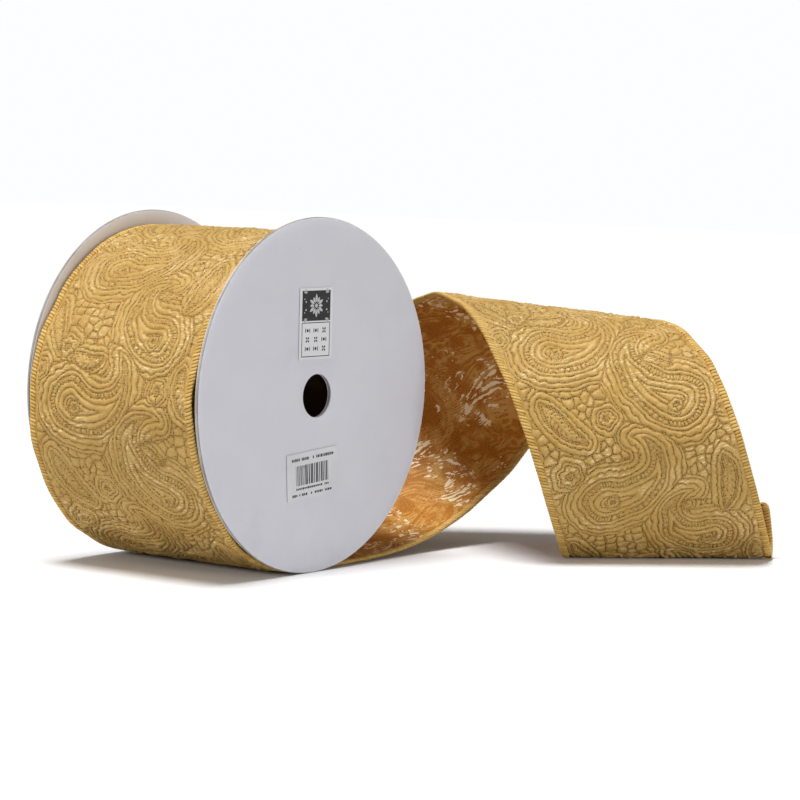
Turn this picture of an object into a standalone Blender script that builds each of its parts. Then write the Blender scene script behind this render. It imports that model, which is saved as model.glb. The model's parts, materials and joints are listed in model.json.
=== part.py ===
"""Ribbon spool: a cardboard reel of wide wired ribbon, with its free end arched on the table.

Frame: metres, +Z up. The spool's axis runs along Y and its labelled end faces -Y.
The ribbon leaves the bottom of the roll towards +X. The floor is Z = 0, and the origin
is on it, in the middle of the object's footprint.

Two bodies: the free ribbon, which lies on the table, and the spool, which turns inside it.
"""
from math import cos, degrees, pi, radians, sin

import bmesh
import bpy
from mathutils import Matrix, Vector

# Where the spool stands in the part's own frame
SPOOL_AXIS_X = -0.0623
FRONT_FACE_Y = 0.0153

# Gap left between pieces that touch, because meshes must not share a surface
GAP = 0.0003

# Flanges: a board between two papers
FLANGE_RADIUS = 0.0840
PAPER_RADIUS = 0.0837
FINGER_HOLE_RADIUS = 0.0103
PAPER = 0.0002
BOARD = 0.0010
FLANGE = 2 * PAPER + 2 * GAP + BOARD
SPOOL_WIDTH = 0.1080

# Core and what holds it
CORE_RADIUS = 0.0380
CORE_WALL = 0.0022
BEAD = 0.0006
BEAD_LEG = 0.0026
TAPE = 0.0002
TAPE_WIDTH = 0.0250
TAPE_ANGLE = radians(64)

# Ribbon: a quilted web with a thread-wrapped wire along each edge
RIBBON_WIDTH = 0.1016
WEB = 0.0008
EDGING_WIDTH = 0.0038
EDGING_HEIGHT = 0.0022
EDGING_WALL = 0.0007
WIRE = 0.0005
WIRE_ROOM = 0.00035
LIFT = 0.0002

# Wound turns: a round ring, so that it turns freely inside the loose turn
ROLL_INNER_RADIUS = 0.0390
ROLL_OUTER_RADIUS = 0.0732

# Loose outer turn, from where it peels off the roll, over the top, to the floor:
# angle from the top towards -X, radius of its front edge, radius of its rear edge
LOOSE_TURN = (
    (-150, 0.0748, 0.0748),
    (-120, 0.0749, 0.0749),
    (-90, 0.0751, 0.0751),
    (-60, 0.07525, 0.07525),
    (-30, 0.0755, 0.0755),
    (0, 0.0759, 0.0759),
    (30, 0.0780, 0.0775),
    (60, 0.0806, 0.0798),
    (90, 0.0836, 0.0848),
    (120, 0.0822, 0.0864),
    (150, 0.0838, 0.0856),
    (180, 0.0827, 0.0827),
)
LOOSE_STEP = radians(7.5)

# Free end: distance along the ribbon, bend there (1 / radius) and skew of its bend line,
# as the slope by which the front edge runs ahead of the rear edge
TAIL_START_X = 0.0060
TAIL_BENDS = (
    (0.000, 0.0, 0.00),
    (0.019, 1.0, 0.06),
    (0.069, 7.7, 0.39),
    (0.119, 7.4, 0.89),
    (0.169, 12.9, 0.84),
    (0.219, 16.1, 0.40),
    (0.269, 13.0, 0.53),
    (0.319, 15.0, 0.50),
    (0.369, 14.8, 0.27),
    (0.419, 10.9, 0.35),
    (0.4440, 11.0, 0.35),
    (0.4514, 9.0, 0.35),
    (0.4524, 165.0, 0.35),
    (0.4556, 165.0, 0.35),
    (0.4566, 0.0, 0.35),
    (0.4746, 0.0, -0.12),
    (0.4756, 130.0, -0.12),
    (0.4866, 130.0, -0.12),
    (0.4876, 18.0, -0.12),
    (0.5006, 36.0, -0.12),
    (0.5016, 130.0, -0.12),
    (0.5085, 130.0, -0.12),
    (0.5090, 0.0, -0.12),
)
TAIL_WALK = 0.0005
STATION_BEND = radians(9)
STATION_LENGTH = 0.016

# Labels on the front flange: centre across and up from the axis, size, tilt
LABEL = 0.00015
TRADE_LABEL = (-0.0025, 0.0342, 0.0240, 0.0335, 0.0)
STOCK_LABEL = (-0.0025, -0.0367, 0.0370, 0.0220, radians(4))

DISC_SEGMENTS = 64
CORE_SEGMENTS = 40
TAPE_SEGMENTS = 6
SHARP_ANGLE = radians(35)


def finish(name, colour, roughness):
    """A Principled material of one colour."""
    material = bpy.data.materials.new(name)
    material.use_nodes = True
    shader = material.node_tree.nodes["Principled BSDF"]
    shader.inputs["Base Color"].default_value = (*colour, 1.0)
    shader.inputs["Roughness"].default_value = roughness
    shader.inputs["Metallic"].default_value = 0.0
    return material


def loft(name, rings, look, parent, closed=False, smooth=True):
    """A solid through equal rings of points, capped at both ends or joined into a loop."""
    mesh = bpy.data.meshes.new(name)
    build = bmesh.new()
    rows = [[build.verts.new(point) for point in ring] for ring in rings]
    pairs = list(zip(rows, rows[1:]))
    if closed:
        pairs.append((rows[-1], rows[0]))
    else:
        build.faces.new(rows[0])
        build.faces.new(rows[-1])
    for one, two in pairs:
        for i in range(len(one)):
            j = (i + 1) % len(one)
            build.faces.new((one[i], one[j], two[j], two[i]))
    bmesh.ops.recalc_face_normals(build, faces=build.faces)
    build.to_mesh(mesh)
    build.free()
    if smooth:
        mesh.shade_smooth()
        mesh.set_sharp_from_angle(angle=SHARP_ANGLE)
    mesh.materials.append(look)
    piece = bpy.data.objects.new(name, mesh)
    bpy.context.collection.objects.link(piece)
    piece.parent = parent
    return piece


def turned(name, outline, y, segments, look, parent):
    """A ring turned about the spool's axis from (radius, depth) points; y places it along the axis."""
    rings = []
    for k in range(segments):
        angle = 2 * pi * k / segments
        rings.append([(r * sin(angle), depth, r * cos(angle)) for r, depth in outline])
    piece = loft(name, rings, look, parent, closed=True)
    piece.location = (0.0, y, 0.0)
    return piece


def tube_outline(inner, outer, length):
    return [(inner, 0.0), (outer, 0.0), (outer, length), (inner, length)]


def slab(name, centre_x, centre_z, width, height, tilt, y, look, parent):
    """A thin upright rectangle that faces -Y, its back at y."""
    corners = [(-width / 2, -height / 2), (width / 2, -height / 2),
               (width / 2, height / 2), (-width / 2, height / 2)]
    rings = [[(x, depth, z) for x, z in corners] for depth in (-LABEL, 0.0)]
    piece = loft(name, rings, look, parent, smooth=False)
    piece.location = (centre_x, y, centre_z)
    piece.rotation_euler = (0.0, -tilt, 0.0)
    return piece


def make_flange(side, y, facing_first, spool):
    """Board and two papers; the facing is the outer paper, the lining the inner one."""
    white = (0.62, 0.62, 0.66)
    names = ["facing", "board", "lining"] if facing_first else ["lining", "board", "facing"]
    for name in names:
        thick = BOARD if name == "board" else PAPER
        radius = FLANGE_RADIUS if name == "board" else PAPER_RADIUS
        colour = (0.55, 0.53, 0.50) if name == "board" else white
        look = finish(f"{side}_{name}_look", colour, 0.7)
        outline = tube_outline(FINGER_HOLE_RADIUS, radius, thick)
        turned(f"{side}_flange_{name}", outline, y, DISC_SEGMENTS, look, spool)
        y += thick + GAP


def make_core(spool):
    """Cardboard tube between two glue beads, each squeezed out inside it as a small fillet."""
    brown = finish("core_look", (0.25, 0.15, 0.08), 0.9)
    glue = finish("glue_look", (0.75, 0.68, 0.48), 0.35)
    inner = CORE_RADIUS - CORE_WALL
    front = FLANGE + GAP + BEAD + GAP
    turned("core_tube", tube_outline(inner, CORE_RADIUS, SPOOL_WIDTH - 2 * front),
           front, CORE_SEGMENTS, brown, spool)
    bore = inner - GAP
    bead = [(bore - BEAD_LEG, 0.0), (CORE_RADIUS, 0.0), (CORE_RADIUS, BEAD), (bore, BEAD),
            (bore, BEAD + BEAD_LEG)]
    turned("front_glue_bead", bead, FLANGE + GAP, CORE_SEGMENTS, glue, spool)
    mirrored = [(r, -depth) for r, depth in bead]
    turned("rear_glue_bead", mirrored, SPOOL_WIDTH - FLANGE - GAP, CORE_SEGMENTS, glue, spool)


def make_tape(spool):
    """Tape over the ribbon's inner end, bent round the core."""
    look = finish("tape_look", (0.80, 0.76, 0.62), 0.3)
    low = CORE_RADIUS + GAP
    rings = []
    for k in range(TAPE_SEGMENTS + 1):
        angle = TAPE_ANGLE * k / TAPE_SEGMENTS
        rings.append([(r * sin(angle), depth, r * cos(angle))
                      for r, depth in tube_outline(low, low + TAPE, TAPE_WIDTH)])
    tape = loft("start_tape", rings, look, spool)
    tape.location = (0.0, (SPOOL_WIDTH - TAPE_WIDTH) / 2, 0.0)


def make_roll(spool):
    """Wound turns as three rings: the web and the thicker thread edging at each side of it."""
    web = finish("roll_web_look", (0.60, 0.42, 0.13), 0.6)
    thread = finish("roll_edging_look", (0.68, 0.44, 0.10), 0.6)
    edge = (SPOOL_WIDTH - RIBBON_WIDTH) / 2
    spans = (
        ("roll_front_edging", edge, edge + EDGING_WIDTH, thread),
        ("ribbon_roll", edge + EDGING_WIDTH + GAP, SPOOL_WIDTH - edge - EDGING_WIDTH - GAP, web),
        ("roll_rear_edging", SPOOL_WIDTH - edge - EDGING_WIDTH, SPOOL_WIDTH - edge, thread),
    )
    for name, start, end, look in spans:
        outline = tube_outline(ROLL_INNER_RADIUS, ROLL_OUTER_RADIUS, end - start)
        turned(name, outline, start, DISC_SEGMENTS, look, spool)


def make_labels(spool):
    back = -GAP
    ink = finish("trade_label_look", (0.35, 0.35, 0.36), 0.6)
    paper = finish("stock_label_look", (0.80, 0.80, 0.82), 0.6)
    slab("trade_label", *TRADE_LABEL, back, ink, spool)
    slab("barcode_label", *STOCK_LABEL, back, paper, spool)


def smooth_reading(rows, at):
    """The values at a place in (place, value...) rows, on a smooth curve through every row."""
    last = len(rows) - 1
    i = max(k for k in range(last) if k == 0 or rows[k][0] <= at)
    near = [rows[max(i - 1, 0)], rows[i], rows[i + 1], rows[min(i + 2, last)]]
    t = (at - rows[i][0]) / (rows[i + 1][0] - rows[i][0])
    values = []
    for a, b, c, d in zip(*(row[1:] for row in near)):
        cubic = 3 * (b - c) + d - a
        square = 2 * a - 5 * b + 4 * c - d
        values.append(b + 0.5 * t * (c - a + t * (square + t * cubic)))
    return values


def straight_reading(rows, at):
    """The values at a place in (place, value...) rows, on straight lines between the rows."""
    i = max(k for k in range(len(rows) - 1) if k == 0 or rows[k][0] <= at)
    t = (at - rows[i][0]) / (rows[i + 1][0] - rows[i][0])
    return [a + t * (b - a) for a, b in zip(rows[i][1:], rows[i + 1][1:])]


def station(centre, along, across):
    """A cross-section of the ribbon: its middle, the way to its front edge, the way to its inner face."""
    return centre.copy(), across.copy(), across.cross(along).normalized()


def loose_turn_stations():
    """From where the ribbon peels off the roll, over the top, down and along the floor."""
    front_y = (SPOOL_WIDTH - RIBBON_WIDTH) / 2
    rear_y = front_y + RIBBON_WIDTH
    start = radians(LOOSE_TURN[0][0])
    end = radians(LOOSE_TURN[-1][0])
    count = round((end - start) / LOOSE_STEP)
    edges = []
    for k in range(count + 1):
        angle = start + (end - start) * k / count
        radii = smooth_reading(LOOSE_TURN, degrees(angle))
        edges.append([Vector((-r * sin(angle), y, r * cos(angle)))
                      for r, y in zip(radii, (front_y, rear_y))])
    edges.append([Vector((TAIL_START_X - GAP, point.y, point.z)) for point in edges[-1]])
    stations = []
    for k, (front, rear) in enumerate(edges):
        before = edges[max(k - 1, 0)]
        after = edges[min(k + 1, len(edges) - 1)]
        along = after[0] + after[1] - before[0] - before[1]
        stations.append(station((front + rear) / 2, along, (front - rear) / RIBBON_WIDTH))
    return stations


def tail_stations():
    """The free end in small steps, each of which bends the ribbon about its skewed bend line."""
    floor = LIFT + EDGING_HEIGHT / 2 - FLANGE_RADIUS
    centre = Vector((TAIL_START_X, SPOOL_WIDTH / 2, floor))
    along = Vector((1, 0, 0))
    across = Vector((0, -1, 0))
    stations = [station(centre, along, across)]
    steps = round(TAIL_BENDS[-1][0] / TAIL_WALK)
    bent = 0.0
    walked = 0.0
    for k in range(1, steps + 1):
        bend, skew = straight_reading(TAIL_BENDS, (k - 0.5) * TAIL_WALK)
        axis = bend * (across + skew * along)
        turn = Matrix.Rotation(axis.length * TAIL_WALK, 3, axis)
        before = along.copy()
        along.rotate(turn)
        across.rotate(turn)
        centre += (before + along).normalized() * TAIL_WALK
        bent += axis.length * TAIL_WALK
        walked += TAIL_WALK
        if bent >= STATION_BEND or walked >= STATION_LENGTH or k == steps:
            skew = straight_reading(TAIL_BENDS, k * TAIL_WALK)[1]
            stations.append(station(centre, along, across + skew * along))
            bent = 0.0
            walked = 0.0
    return stations


def sweep(name, section, stations, look, parent):
    """A solid of one (across, inward) section carried along the ribbon."""
    rings = [[centre + v * across + h * inward for v, h in section]
             for centre, across, inward in stations]
    return loft(name, rings, look, parent)


def web_section():
    edge = RIBBON_WIDTH / 2 - EDGING_WALL - WIRE - 2 * WIRE_ROOM
    return [(-edge, -WEB / 2), (edge, -WEB / 2), (edge, WEB / 2), (-edge, WEB / 2)]


def edging_section(side):
    """Thread wrapped round the web's edge and the wire: a channel open towards the web."""
    outside = RIBBON_WIDTH / 2
    inside = outside - EDGING_WIDTH
    slot_end = outside - EDGING_WALL
    slot = WEB / 2 + GAP
    half = EDGING_HEIGHT / 2
    upper = [(outside, half), (inside, half), (inside, slot), (slot_end, slot)]
    lower = [(v, -h) for v, h in reversed(upper)]
    return [(side * v, h) for v, h in upper + lower]


def wire_section(side):
    middle = RIBBON_WIDTH / 2 - EDGING_WALL - WIRE_ROOM - WIRE / 2
    half = WIRE / 2
    corners = [(-half, -half), (half, -half), (half, half), (-half, half)]
    return [(side * (middle + v), h) for v, h in corners]


def make_free_ribbon(ribbon):
    """The turn that has come off the roll and the tail, with their edgings and the wires in them."""
    web = finish("web_look", (0.60, 0.42, 0.13), 0.6)
    thread = finish("edging_look", (0.68, 0.44, 0.10), 0.6)
    steel = finish("wire_look", (0.45, 0.45, 0.46), 0.35)
    turn = loose_turn_stations()
    tail = tail_stations()
    sweep("loose_turn", web_section(), turn, web, ribbon)
    sweep("ribbon_tail", web_section(), tail, web, ribbon)
    for end, side in (("front", 1), ("rear", -1)):
        sweep(f"turn_{end}_edging", edging_section(side), turn, thread, ribbon)
        sweep(f"tail_{end}_edging", edging_section(side), tail, thread, ribbon)
        sweep(f"{end}_edge_wire", wire_section(side), turn + tail[1:], steel, ribbon)


def empty_at_axis(name):
    """An empty on the spool's axis, at the flange's labelled face."""
    empty = bpy.data.objects.new(name, None)
    bpy.context.collection.objects.link(empty)
    empty.location = (SPOOL_AXIS_X, FRONT_FACE_Y, FLANGE_RADIUS)
    return empty


def main():
    for old in list(bpy.data.objects):
        bpy.data.objects.remove(old)
    spool = empty_at_axis("spool_axis")
    ribbon = empty_at_axis("ribbon_frame")
    make_flange("front", 0.0, True, spool)
    make_flange("rear", SPOOL_WIDTH - FLANGE, False, spool)
    make_core(spool)
    make_tape(spool)
    make_roll(spool)
    make_labels(spool)
    make_free_ribbon(ribbon)


main()
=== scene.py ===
# %% [markdown]
# A cardboard spool of wide quilted ribbon, with its free end pulled off and arched on the table.
# The frame is the finished model of the parts: nothing in it is moved here. This lesson dresses it:
# the cloth gets its quilting, the edges their thread, the discs their paper and the labels their print.

# %% The frame
import json
from math import cos, pi, radians, sin

import bpy
import numpy as np
from mathutils import Matrix, Vector


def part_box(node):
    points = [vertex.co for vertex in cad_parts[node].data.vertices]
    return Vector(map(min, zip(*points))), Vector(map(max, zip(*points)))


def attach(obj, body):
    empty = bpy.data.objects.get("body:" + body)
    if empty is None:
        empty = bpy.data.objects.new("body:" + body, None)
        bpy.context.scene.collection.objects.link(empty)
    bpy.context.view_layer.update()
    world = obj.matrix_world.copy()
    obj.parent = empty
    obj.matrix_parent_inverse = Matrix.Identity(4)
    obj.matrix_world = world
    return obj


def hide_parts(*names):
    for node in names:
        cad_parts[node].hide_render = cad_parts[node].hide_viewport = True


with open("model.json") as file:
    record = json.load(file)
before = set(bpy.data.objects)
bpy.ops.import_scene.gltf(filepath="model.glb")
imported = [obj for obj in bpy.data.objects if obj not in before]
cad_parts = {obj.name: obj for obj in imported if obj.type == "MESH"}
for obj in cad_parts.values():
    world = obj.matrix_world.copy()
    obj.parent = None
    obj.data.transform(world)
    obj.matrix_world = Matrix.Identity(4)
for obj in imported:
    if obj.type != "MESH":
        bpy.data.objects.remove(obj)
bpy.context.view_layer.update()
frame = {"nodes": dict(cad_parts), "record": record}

AXIS = np.array(frame["record"]["behaviour"]["joints"][0]["pos_m"])
FRONT_LOW, _ = (np.array(corner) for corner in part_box("front_flange_facing"))
_, REAR_HIGH = (np.array(corner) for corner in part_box("rear_flange_facing"))
BOARD_LOW, BOARD_HIGH = (np.array(corner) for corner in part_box("front_flange_board"))
SPOOL_WIDTH = float(REAR_HIGH[1] - FRONT_LOW[1])
FLANGE_RADIUS = float(BOARD_HIGH[2] - BOARD_LOW[2]) / 2
HUB = np.array((AXIS[0], FRONT_LOW[1], AXIS[2]))
print("hub of the front flange", HUB.round(4))
print("width", round(SPOOL_WIDTH, 4), "radius", round(FLANGE_RADIUS, 4))

# %% [markdown]
# The camera stands low, to the left of the labelled flange, far away with a long lens, so the two
# discs keep nearly the same size. It is placed by its direction from the spool, and it looks at a
# point a little to the right of the hub, which is the middle of the spool and its ribbon together.

# %% Camera
VIEW_AZIMUTH = radians(-52.28)
VIEW_ELEVATION = radians(5.06)
VIEW_ROLL = radians(1.5)
VIEW_DISTANCE = 1.3
VIEW_LENS = 124.25
AIM_RIGHT = 0.0391
AIM_UP = -0.0020


def camera_axes(azimuth, elevation, roll):
    """Right, up and forward directions of a camera that looks at the origin from that side."""
    forward = -Vector((sin(azimuth) * cos(elevation), -cos(azimuth) * cos(elevation), sin(elevation)))
    level = forward.cross(Vector((0, 0, 1))).normalized()
    upright = level.cross(forward)
    return cos(roll) * level + sin(roll) * upright, -sin(roll) * level + cos(roll) * upright, forward


right, up, forward = camera_axes(VIEW_AZIMUTH, VIEW_ELEVATION, VIEW_ROLL)
place_of_camera = Vector(HUB) + AIM_RIGHT * right + AIM_UP * up - VIEW_DISTANCE * forward
camera = bpy.data.objects.new("camera", bpy.data.cameras.new("camera"))
camera.data.lens = VIEW_LENS
turn_of_camera = Matrix((right, up, -forward)).transposed().to_4x4()
camera.matrix_world = Matrix.Translation(place_of_camera) @ turn_of_camera
bpy.context.collection.objects.link(camera)
bpy.context.scene.camera = camera
print("camera at", [round(number, 3) for number in place_of_camera])

# %% [markdown]
# Gold cloth shows its quilting by shading, so the light is soft but has a direction. A wide sun
# stands for a bank of overhead lamps: it lights the whole table evenly, so the table stays pale to
# its far edge. One weaker lamp lights the side of the roll and another the labelled face, and the
# bright surroundings fill the rest. What the camera sees behind the table is plain white.

# %% Lights and surroundings
bpy.context.scene.view_settings.view_transform = "Standard"


def add_light(name, kind, place, target, power, colour, **settings):
    """A light at a place, pointed at a target."""
    light = bpy.data.lights.new(name, kind)
    light.energy = power
    light.color = colour
    for key, value in settings.items():
        setattr(light, key, value)
    light_object = bpy.data.objects.new(name, light)
    light_object.location = place
    light_object.rotation_euler = (Vector(target) - Vector(place)).to_track_quat("-Z", "Y").to_euler()
    bpy.context.collection.objects.link(light_object)


LIGHT_TARGET = (0.0, 0.02, 0.06)
LAMPS = (
    ("overhead_bank", "SUN", (-0.30, 0.04, 1.42), 3.15, (1.0, 0.99, 0.97), {"angle": radians(22)}),
    ("side_lamp", "AREA", (-1.20, 0.30, 0.40), 4.2, (1.0, 0.98, 0.94), {"size": 0.3}),
    ("front_lamp", "AREA", (0.10, -1.50, 0.10), 8.4, (1.0, 0.99, 0.98), {"size": 0.6}),
)
for name, kind, place, power, colour, settings in LAMPS:
    add_light(name, kind, place, LIGHT_TARGET, power, colour, **settings)
world = bpy.data.worlds.new("studio")
world.use_nodes = True
bpy.context.scene.world = world
surroundings = world.node_tree.nodes["Background"]
surroundings.inputs["Color"].default_value = (0.98, 0.985, 1.0, 1.0)
rays = world.node_tree.nodes.new("ShaderNodeLightPath")
strength = world.node_tree.nodes.new("ShaderNodeMapRange")
FILL_LIGHT = 0.22
WHITE_BACKDROP = 1.0
strength.inputs["To Min"].default_value = FILL_LIGHT
strength.inputs["To Max"].default_value = WHITE_BACKDROP
world.node_tree.links.new(rays.outputs["Is Camera Ray"], strength.inputs["Value"])
world.node_tree.links.new(strength.outputs["Result"], surroundings.inputs["Strength"])
print("lamps:", [lamp[0] for lamp in LAMPS])

# %% [markdown]
# Every finish below is built from nodes. Small helpers keep that readable: they add a node and
# give it its inputs, mix two colours, start a node group with named sockets, and give the shader
# its finished colour, roughness and normal. Colours are paint values from 0 to 255, as on a chart.


# %% Node helpers
def paint(red, green, blue):
    """A paint value as the linear colour that shaders work in."""
    return tuple((c / 255 / 12.92 if c < 11 else ((c / 255 + 0.055) / 1.055) ** 2.4)
                 for c in (red, green, blue)) + (1.0,)


def feed(tree, node, inputs):
    """Give a node its inputs; each is a number, a colour or another node's socket."""
    for key, value in inputs.items():
        if isinstance(value, bpy.types.NodeSocket):
            tree.links.new(value, node.inputs[key])
        else:
            node.inputs[key].default_value = value
    return node


def add_node(tree, kind, inputs=None, **settings):
    made = tree.nodes.new("ShaderNode" + kind)
    for key, value in settings.items():
        setattr(made, key, value)
    return feed(tree, made, inputs or {})


def calculate(tree, operation, *values, clamp=False):
    inputs = dict(enumerate(values))
    return add_node(tree, "Math", inputs, operation=operation, use_clamp=clamp).outputs[0]


def remap(tree, value, low, high):
    """0 at the low end, 1 at the high end, with a smooth start and finish."""
    inputs = {0: value, 1: low, 2: high}
    return add_node(tree, "MapRange", inputs, interpolation_type="SMOOTHSTEP").outputs[0]


def mix_colours(tree, share, one, other):
    inputs = {0: share, 6: one, 7: other}
    return add_node(tree, "Mix", inputs, data_type="RGBA").outputs[2]


def noise(tree, coordinates, scale, detail=2.0, roughness=0.5):
    inputs = {"Vector": coordinates, "Scale": scale, "Detail": detail, "Roughness": roughness}
    return add_node(tree, "TexNoise", inputs).outputs[0]


def start_group(name, inputs, outputs):
    """A node group from (label, socket kind, value) inputs and (label, socket kind) outputs."""
    group = bpy.data.node_groups.new(name, "ShaderNodeTree")
    for label, kind, value in inputs:
        socket = group.interface.new_socket(label, in_out="INPUT", socket_type="NodeSocket" + kind)
        if value is not None:
            socket.default_value = value
    for label, kind in outputs:
        group.interface.new_socket(label, in_out="OUTPUT", socket_type="NodeSocket" + kind)
    return group, group.nodes.new("NodeGroupInput").outputs, group.nodes.new("NodeGroupOutput").inputs


def use_group(tree, group, inputs):
    made = tree.nodes.new("ShaderNodeGroup")
    made.node_tree = group
    return feed(tree, made, inputs).outputs


def start_material(name, **fixed):
    """A material with its shader; fixed values are the same all over and set on the shader itself."""
    material = bpy.data.materials.new(name)
    material.use_nodes = True
    tree = material.node_tree
    shader = tree.nodes["Principled BSDF"]
    for key, value in fixed.items():
        shader.inputs[key.replace("_", " ")].default_value = value
    return material, tree, shader


def bump(tree, height, depth, distance):
    return add_node(tree, "Bump", {"Height": height, "Strength": depth, "Distance": distance}).outputs[0]


def dress(tree, shader, colour, roughness, normal=None):
    """Give the shader its colour, its roughness and its normal."""
    feed(tree, shader, {"Base Color": colour, "Roughness": roughness})
    if normal is not None:
        feed(tree, shader, {"Normal": normal})


def read_values(tree, *keys):
    """The point attributes of the mesh, in the order of their names."""
    return [add_node(tree, "Attribute", attribute_name=key).outputs["Fac"] for key in keys]


def place_in_space(tree):
    return add_node(tree, "TexCoord").outputs["Object"]


# %% [markdown]
# Four effects turn up on more than one part, so each is made once as a group.
# Woven threads cross each other in cloth; paper and board have short fibres and cloudy patches;
# spun thread is twisted; and everything that is handled gathers faint specks and smudges.


# %% Woven threads
def make_weave():
    """Height and tint of a plain weave; its coordinates are metres along and across the cloth."""
    group, given, result = start_group(
        "woven threads",
        [("Coordinates", "Vector", None), ("Threads per metre", "Float", 2200.0),
         ("Unevenness", "Float", 0.4)],
        [("Height", "Float"), ("Tint", "Float")])
    wander = noise(group, given["Coordinates"], 900.0, 2.0)
    shifted = add_node(group, "VectorMath", {0: given["Coordinates"]}, operation="ADD")
    group.links.new(calculate(group, "MULTIPLY", wander, 0.00018), shifted.inputs[1])
    split = add_node(group, "SeparateXYZ", {0: shifted.outputs[0]})
    turns = calculate(group, "MULTIPLY", given["Threads per metre"], pi)
    warp = calculate(group, "SINE", calculate(group, "MULTIPLY", split.outputs[0], turns))
    weft = calculate(group, "SINE", calculate(group, "MULTIPLY", split.outputs[1], turns))
    crossing = calculate(group, "MULTIPLY", warp, weft)
    slub = noise(group, given["Coordinates"], 420.0, 3.0, 0.6)
    uneven = calculate(group, "MULTIPLY", slub, given["Unevenness"])
    group.links.new(calculate(group, "MULTIPLY_ADD", crossing, 0.5, uneven), result["Height"])
    group.links.new(remap(group, slub, 0.3, 0.7), result["Tint"])
    return group


WEAVE = make_weave()


# %% Paper grain
def make_paper_grain():
    """Height of the short fibres and a mask of cloudy patches, from a place in metres."""
    group, given, result = start_group(
        "paper grain",
        [("Coordinates", "Vector", None), ("Fibre size", "Float", 1.0), ("Cloudiness", "Float", 0.5)],
        [("Height", "Float"), ("Clouds", "Float")])
    stretch = add_node(group, "VectorMath", {0: given["Coordinates"], 1: (1.0, 1.0, 0.35)},
                       operation="MULTIPLY")
    fibre_scale = calculate(group, "DIVIDE", 2400.0, given["Fibre size"])
    fibres = noise(group, stretch.outputs[0], fibre_scale, 3.0, 0.65)
    tooth = noise(group, given["Coordinates"], 620.0, 4.0, 0.6)
    clouds = noise(group, given["Coordinates"], 46.0, 5.0, 0.55)
    both = calculate(group, "MULTIPLY_ADD", tooth, 0.8, fibres)
    group.links.new(both, result["Height"])
    cloudy = calculate(group, "MULTIPLY", remap(group, clouds, 0.35, 0.65), given["Cloudiness"])
    group.links.new(cloudy, result["Clouds"])
    return group


PAPER_GRAIN = make_paper_grain()


# %% Spun thread
def make_spun_thread():
    """Twisted strands; Along and Across are metres along one thread and over its width."""
    group, given, result = start_group(
        "spun thread",
        [("Along", "Float", 0.0), ("Across", "Float", 0.0), ("Twists per metre", "Float", 1400.0)],
        [("Height", "Float"), ("Tint", "Float")])
    slanted = calculate(group, "MULTIPLY_ADD", given["Across"], 0.9, given["Along"])
    turns = calculate(group, "MULTIPLY", given["Twists per metre"], 2 * pi)
    strand = calculate(group, "SINE", calculate(group, "MULTIPLY", slanted, turns))
    place = add_node(group, "CombineXYZ", {0: given["Along"], 1: given["Across"]})
    fuzz = noise(group, place.outputs[0], 2600.0, 3.0, 0.7)
    group.links.new(calculate(group, "MULTIPLY_ADD", strand, 0.35, fuzz), result["Height"])
    group.links.new(remap(group, fuzz, 0.3, 0.7), result["Tint"])
    return group


SPUN_THREAD = make_spun_thread()


# %% Specks and smudges
def make_handling():
    """A mask of faint smudges and small specks left by handling, from a place in metres."""
    group, given, result = start_group(
        "handling marks",
        [("Coordinates", "Vector", None), ("Amount", "Float", 0.5)],
        [("Mask", "Float")])
    smudge = remap(group, noise(group, given["Coordinates"], 18.0, 6.0, 0.6), 0.52, 0.75)
    cells = add_node(group, "TexVoronoi",
                     {"Vector": given["Coordinates"], "Scale": 95.0, "Randomness": 1.0})
    speck = remap(group, cells.outputs["Distance"], 0.09, 0.03)
    rare = remap(group, noise(group, given["Coordinates"], 70.0, 1.0), 0.60, 0.66)
    specks = calculate(group, "MULTIPLY", speck, rare)
    total = calculate(group, "MAXIMUM", calculate(group, "MULTIPLY", smudge, 0.5), specks)
    group.links.new(calculate(group, "MULTIPLY", total, given["Amount"], clamp=True), result["Mask"])
    return group


HANDLING = make_handling()
print("shared groups:", [group.name for group in (WEAVE, PAPER_GRAIN, SPUN_THREAD, HANDLING)])

# %% [markdown]
# Meshes with hundreds of thousands of points are too slow to make one face at a time, so this
# helper hands whole arrays to Blender. Points come as an array of rows and columns.
# Values that the materials need, such as the depth of the quilting, go in as point attributes.


# %% Mesh helpers
def add_mesh(name, points, faces, materials, uv=None, values=None, slots=None):
    """An object from arrays: faces is a list of index arrays with equal corners in each array.
    uv has a row for each point, or for each corner of each face where the cloth closes on itself."""
    mesh = bpy.data.meshes.new(name)
    corners = [np.asarray(part).reshape(len(part), -1) for part in faces if len(part)]
    loops = np.concatenate([part.ravel() for part in corners])
    sizes = np.concatenate([np.full(len(part), part.shape[1]) for part in corners])
    starts = np.concatenate([[0], np.cumsum(sizes)[:-1]])
    mesh.vertices.add(len(points))
    mesh.vertices.foreach_set("co", np.asarray(points, np.float32).ravel())
    mesh.loops.add(len(loops))
    mesh.loops.foreach_set("vertex_index", loops.astype(np.int32))
    mesh.polygons.add(len(sizes))
    mesh.polygons.foreach_set("loop_start", starts.astype(np.int32))
    mesh.polygons.foreach_set("loop_total", sizes.astype(np.int32))
    for material in materials:
        mesh.materials.append(material)
    if slots is not None:
        mesh.polygons.foreach_set("material_index", np.asarray(slots, np.int32))
    if uv is not None:
        layer = mesh.uv_layers.new(name="cloth")
        corner_uv = np.asarray(uv, np.float32)
        if len(corner_uv) == len(points):
            corner_uv = corner_uv[loops]
        layer.data.foreach_set("uv", corner_uv.ravel())
    for key, numbers in (values or {}).items():
        attribute = mesh.attributes.new(key, "FLOAT", "POINT")
        attribute.data.foreach_set("value", np.asarray(numbers, np.float32).ravel())
    mesh.update(calc_edges=True)
    mesh.validate()
    mesh.shade_smooth()
    piece = bpy.data.objects.new(name, mesh)
    bpy.context.collection.objects.link(piece)
    return piece


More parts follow.
